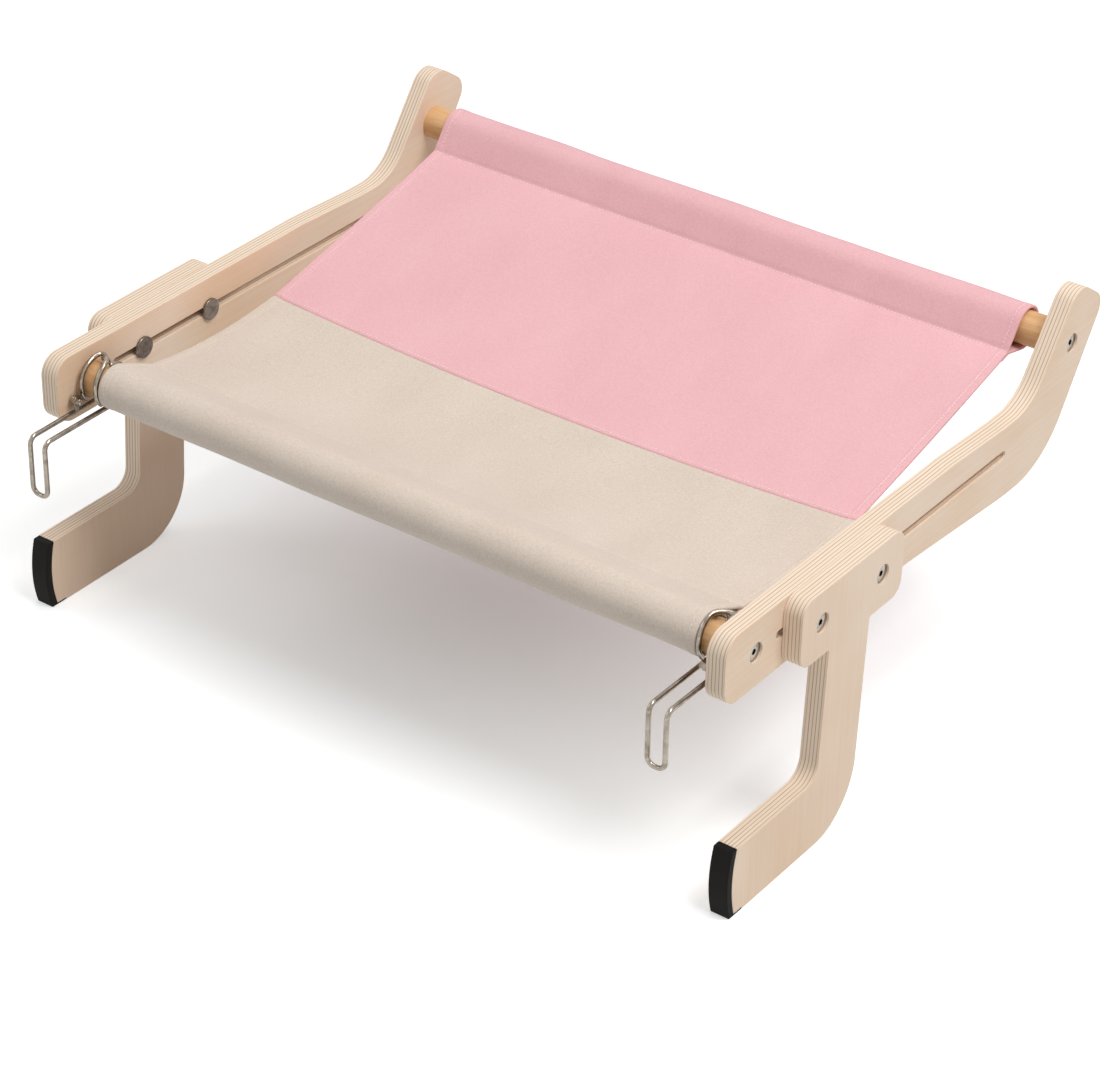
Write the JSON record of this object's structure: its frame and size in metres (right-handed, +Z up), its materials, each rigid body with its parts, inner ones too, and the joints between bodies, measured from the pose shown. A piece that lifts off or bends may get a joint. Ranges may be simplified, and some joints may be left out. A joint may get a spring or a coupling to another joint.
{
  "type": "hanging cat hammock",
  "caption": "Cat hammock with plywood side rails, a two-tone cloth sling on dowels, sliding plywood legs with rubber pads, and wire hooks that hang it on a board.",
  "frame": {"origin": "on the middle plane, where the hooks' arms rest on the top edge of the board that it hangs on, at that board's outer face", "axes": "+X across the hammock, +Y away from the board towards the hammock's back, +Z up"},
  "size_m": [0.6204, 0.5078, 0.2763],
  "materials": {
    "birch_ply": "sanded, clear matt lacquer",
    "dowel_wood": "sanded, bare",
    "beige_cloth": "soft brushed weave",
    "pink_cloth": "soft brushed weave",
    "nickel_steel": "bright nickel plate",
    "rubber": "matt"
  },
  "bodies": {
    "hammock": {"left_side_rail": "birch_ply", "right_side_rail": "birch_ply", "front_dowel": "dowel_wood", "rear_dowel": "dowel_wood", "dowel_inserts": "nickel_steel", "dowel_screws": "nickel_steel", "seat_panel": "beige_cloth", "back_panel": "pink_cloth"},
    "left_leg": {"left_leg_board": "birch_ply", "left_foot_pad": "rubber", "left_leg_bolts": "nickel_steel", "left_leg_nuts": "nickel_steel"},
    "left_hook": {"left_hook_wire": "nickel_steel", "left_hook_screw": "nickel_steel", "left_hook_nut": "nickel_steel"},
    "right_leg": {"right_leg_board": "birch_ply", "right_foot_pad": "rubber", "right_leg_bolts": "nickel_steel", "right_leg_nuts": "nickel_steel"},
    "right_hook": {"right_hook_wire": "nickel_steel", "right_hook_screw": "nickel_steel", "right_hook_nut": "nickel_steel"}
  },
  "joints": [
    {"name": "left_leg_slide", "type": "slide", "parent": "hammock", "child": "left_leg", "axis": [0, 1, 0], "range_m": [-0.028, 0.181]},
    {"name": "left_hook_swing", "type": "hinge", "parent": "hammock", "child": "left_hook", "pos_m": [-0.2682, 0.044, 0.0187], "axis": [1, 0, 0], "range_deg": [-90, 90]},
    {"name": "right_leg_slide", "type": "slide", "parent": "hammock", "child": "right_leg", "axis": [0, 1, 0], "range_m": [-0.028, 0.181]},
    {"name": "right_hook_swing", "type": "hinge", "parent": "hammock", "child": "right_hook", "pos_m": [0.2682, 0.044, 0.0187], "axis": [1, 0, 0], "range_deg": [-90, 90]}
  ]
}
